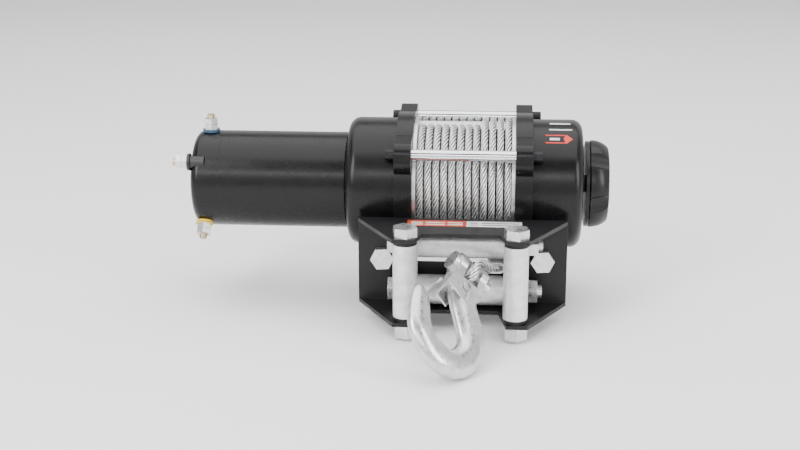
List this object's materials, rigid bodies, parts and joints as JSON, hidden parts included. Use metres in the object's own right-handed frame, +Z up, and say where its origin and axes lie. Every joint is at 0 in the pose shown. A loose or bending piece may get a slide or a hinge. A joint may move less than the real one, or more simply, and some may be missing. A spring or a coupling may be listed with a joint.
{
  "type": "electric winch",
  "caption": "Electric drum winch with planetary gearbox, free-spool clutch knob, roller fairlead, wound wire rope and a clevis slip hook.",
  "frame": {"origin": "centre of the four mounting holes, on the underside of the feet", "axes": "+X along the drum from the motor to the clutch knob, -Y towards the fairlead, +Z up"},
  "size_m": [0.3438, 0.2494, 0.1515],
  "materials": {
    "black_paint": "semi-gloss black paint",
    "frame_paint": "satin black powder coat",
    "black_plastic": "moulded black plastic",
    "black_steel": "black oxide",
    "chrome": "bright chrome plate",
    "drum_zinc": "zinc plate",
    "wire_rope": "bright galvanised stranded wire",
    "roller_zinc": "satin zinc plate",
    "bolt_zinc": "zinc plate",
    "hook_zinc": "zinc-plated forging",
    "ferrule_alloy": "pressed alloy",
    "terminal_copper": "copper-plated steel",
    "insulator": "blue, yellow and black plastic sleeves",
    "bronze": "sintered bronze",
    "gear_steel": "machined and oiled steel",
    "core_iron": "varnished laminations",
    "magnet": "ferrite",
    "brake_lining": "friction lining",
    "carbon": "carbon",
    "brown_board": "phenolic board"
  },
  "bodies": {
    "root": {"brake_lining": "brake_lining", "brush_plate": "brown_board", "brushes": "carbon", "drum_bushes": "bronze", "drum_support_left": "black_paint", "drum_support_right": "black_paint", "fairlead_bolts": "bolt_zinc", "fairlead_frame": "frame_paint", "fairlead_nuts": "bolt_zinc", "left_housing": "black_paint", "motor_bearings": "bronze", "motor_can": "black_paint", "motor_drive_plate": "black_paint", "motor_end_cap": "black_paint", "motor_magnets": "magnet", "right_housing": "black_paint", "ring_gear": "gear_steel", "roller_bushes": "black_plastic", "rope_ferrule": "ferrule_alloy", "rope_lead": "wire_rope", "rope_thimble": "ferrule_alloy", "terminal_insulators": "insulator", "terminal_nuts": "bolt_zinc", "terminal_studs": "terminal_copper", "tie_bar_screws": "black_steel", "tie_bars": "chrome"},
    "drum": {"winch_drum": "drum_zinc", "rope_winding": "wire_rope", "rope_clamp_screw": "bolt_zinc"},
    "rotor": {"armature_core": "core_iron", "commutator": "terminal_copper", "armature_shaft": "gear_steel", "brake_hub": "gear_steel", "drive_shaft": "gear_steel"},
    "shift_rod_body": {"shift_rod": "gear_steel"},
    "carrier_1": {"planet_carrier_1": "gear_steel"},
    "carrier_2": {"planet_carrier_2": "gear_steel"},
    "carrier_3": {"planet_carrier_3": "gear_steel"},
    "dog": {"clutch_dog": "gear_steel"},
    "knob": {"clutch_knob": "black_plastic", "knob_stem": "black_plastic"},
    "roller_left": {"side_roller_left": "roller_zinc"},
    "roller_right": {"side_roller_right": "roller_zinc"},
    "roller_upper": {"cross_roller_upper": "roller_zinc"},
    "roller_lower": {"cross_roller_lower": "roller_zinc"},
    "hook": {"hook_body": "hook_zinc", "clevis_pin": "hook_zinc", "split_pin": "hook_zinc", "latch_pin": "hook_zinc", "latch_spring": "hook_zinc"},
    "latch": {"hook_latch": "hook_zinc"},
    "planet_1a": {"planet_gear_1a": "gear_steel"},
    "planet_1b": {"planet_gear_1b": "gear_steel"},
    "planet_1c": {"planet_gear_1c": "gear_steel"},
    "planet_2a": {"planet_gear_2a": "gear_steel"},
    "planet_2b": {"planet_gear_2b": "gear_steel"},
    "planet_2c": {"planet_gear_2c": "gear_steel"},
    "planet_3a": {"planet_gear_3a": "gear_steel"},
    "planet_3b": {"planet_gear_3b": "gear_steel"},
    "planet_3c": {"planet_gear_3c": "gear_steel"}
  },
  "joints": [
    {"name": "drum_spin", "type": "hinge", "parent": "root", "child": "drum", "pos_m": [0, 0, 0.059], "axis": [1, 0, 0], "continuous": true},
    {"name": "rotor_spin", "type": "hinge", "parent": "root", "child": "rotor", "pos_m": [0, 0, 0.059], "axis": [1, 0, 0], "continuous": true},
    {"name": "carrier_1_spin", "type": "hinge", "parent": "root", "child": "carrier_1", "pos_m": [0, 0, 0.059], "axis": [1, 0, 0], "continuous": true},
    {"name": "planet_1a_spin", "type": "hinge", "parent": "carrier_1", "child": "planet_1a", "pos_m": [0, 0.02063, 0.059], "axis": [1, 0, 0], "continuous": true},
    {"name": "planet_1b_spin", "type": "hinge", "parent": "carrier_1", "child": "planet_1b", "pos_m": [0, -0.01031, 0.07686], "axis": [1, 0, 0], "continuous": true},
    {"name": "planet_1c_spin", "type": "hinge", "parent": "carrier_1", "child": "planet_1c", "pos_m": [0, -0.01031, 0.04114], "axis": [1, 0, 0], "continuous": true},
    {"name": "carrier_2_spin", "type": "hinge", "parent": "root", "child": "carrier_2", "pos_m": [0, 0, 0.059], "axis": [1, 0, 0], "continuous": true},
    {"name": "planet_2a_spin", "type": "hinge", "parent": "carrier_2", "child": "planet_2a", "pos_m": [0, 0.02063, 0.059], "axis": [1, 0, 0], "continuous": true},
    {"name": "planet_2b_spin", "type": "hinge", "parent": "carrier_2", "child": "planet_2b", "pos_m": [0, -0.01031, 0.07686], "axis": [1, 0, 0], "continuous": true},
    {"name": "planet_2c_spin", "type": "hinge", "parent": "carrier_2", "child": "planet_2c", "pos_m": [0, -0.01031, 0.04114], "axis": [1, 0, 0], "continuous": true},
    {"name": "carrier_3_spin", "type": "hinge", "parent": "root", "child": "carrier_3", "pos_m": [0, 0, 0.059], "axis": [1, 0, 0], "continuous": true},
    {"name": "planet_3a_spin", "type": "hinge", "parent": "carrier_3", "child": "planet_3a", "pos_m": [0, 0.02063, 0.059], "axis": [1, 0, 0], "continuous": true},
    {"name": "planet_3b_spin", "type": "hinge", "parent": "carrier_3", "child": "planet_3b", "pos_m": [0, -0.01031, 0.07686], "axis": [1, 0, 0], "continuous": true},
    {"name": "planet_3c_spin", "type": "hinge", "parent": "carrier_3", "child": "planet_3c", "pos_m": [0, -0.01031, 0.04114], "axis": [1, 0, 0], "continuous": true},
    {"name": "knob_turn", "type": "hinge", "parent": "root", "child": "knob", "pos_m": [0.1, 0, 0.059], "axis": [1, 0, 0], "range_deg": [0, 90]},
    {"name": "shift_rod_slide", "type": "slide", "parent": "rotor", "child": "shift_rod_body", "axis": [-1, 0, 0], "range_m": [0, 0.004]},
    {"name": "dog_slide", "type": "slide", "parent": "carrier_3", "child": "dog", "axis": [-1, 0, 0], "range_m": [0, 0.004]},
    {"name": "roller_left_spin", "type": "hinge", "parent": "root", "child": "roller_left", "pos_m": [-0.04124, -0.1006, 0.01], "axis": [0, 0, 1], "continuous": true},
    {"name": "roller_right_spin", "type": "hinge", "parent": "root", "child": "roller_right", "pos_m": [0.04124, -0.1006, 0.01], "axis": [0, 0, 1], "continuous": true},
    {"name": "roller_upper_spin", "type": "hinge", "parent": "root", "child": "roller_upper", "pos_m": [0, -0.069, 0.0293], "axis": [1, 0, 0], "continuous": true},
    {"name": "roller_lower_spin", "type": "hinge", "parent": "root", "child": "roller_lower", "pos_m": [0, -0.069, -0.0084], "axis": [1, 0, 0], "continuous": true},
    {"name": "hook_swing", "type": "hinge", "parent": "root", "child": "hook", "pos_m": [0.0058, -0.112, 0.0202], "axis": [0.6965, 0.2089, -0.6865], "range_deg": [-20, 30]},
    {"name": "latch_swing", "type": "hinge", "parent": "hook", "child": "latch", "pos_m": [-0.00099, -0.13074, 0.01271], "axis": [0.687, -0.4704, 0.5539], "range_deg": [0, 20], "stiffness_Nm_per_rad": 0.02, "springref_deg": -28.65}
  ],
  "couplings": [
    {"joint": "carrier_1_spin", "follows": "rotor_spin", "ratio": 0.18182},
    {"joint": "planet_1a_spin", "follows": "rotor_spin", "ratio": -0.46753},
    {"joint": "planet_1b_spin", "follows": "rotor_spin", "ratio": -0.46753},
    {"joint": "planet_1c_spin", "follows": "rotor_spin", "ratio": -0.46753},
    {"joint": "carrier_2_spin", "follows": "rotor_spin", "ratio": 0.033058},
    {"joint": "planet_2a_spin", "follows": "rotor_spin", "ratio": -0.085006},
    {"joint": "planet_2b_spin", "follows": "rotor_spin", "ratio": -0.085006},
    {"joint": "planet_2c_spin", "follows": "rotor_spin", "ratio": -0.085006},
    {"joint": "carrier_3_spin", "follows": "rotor_spin", "ratio": 0.0060105},
    {"joint": "planet_3a_spin", "follows": "rotor_spin", "ratio": -0.015456},
    {"joint": "planet_3b_spin", "follows": "rotor_spin", "ratio": -0.015456},
    {"joint": "planet_3c_spin", "follows": "rotor_spin", "ratio": -0.015456},
    {"joint": "shift_rod_slide", "follows": "knob_turn", "m_per_rad": 0.0025462},
    {"joint": "dog_slide", "follows": "knob_turn", "m_per_rad": 0.0025462}
  ]
}
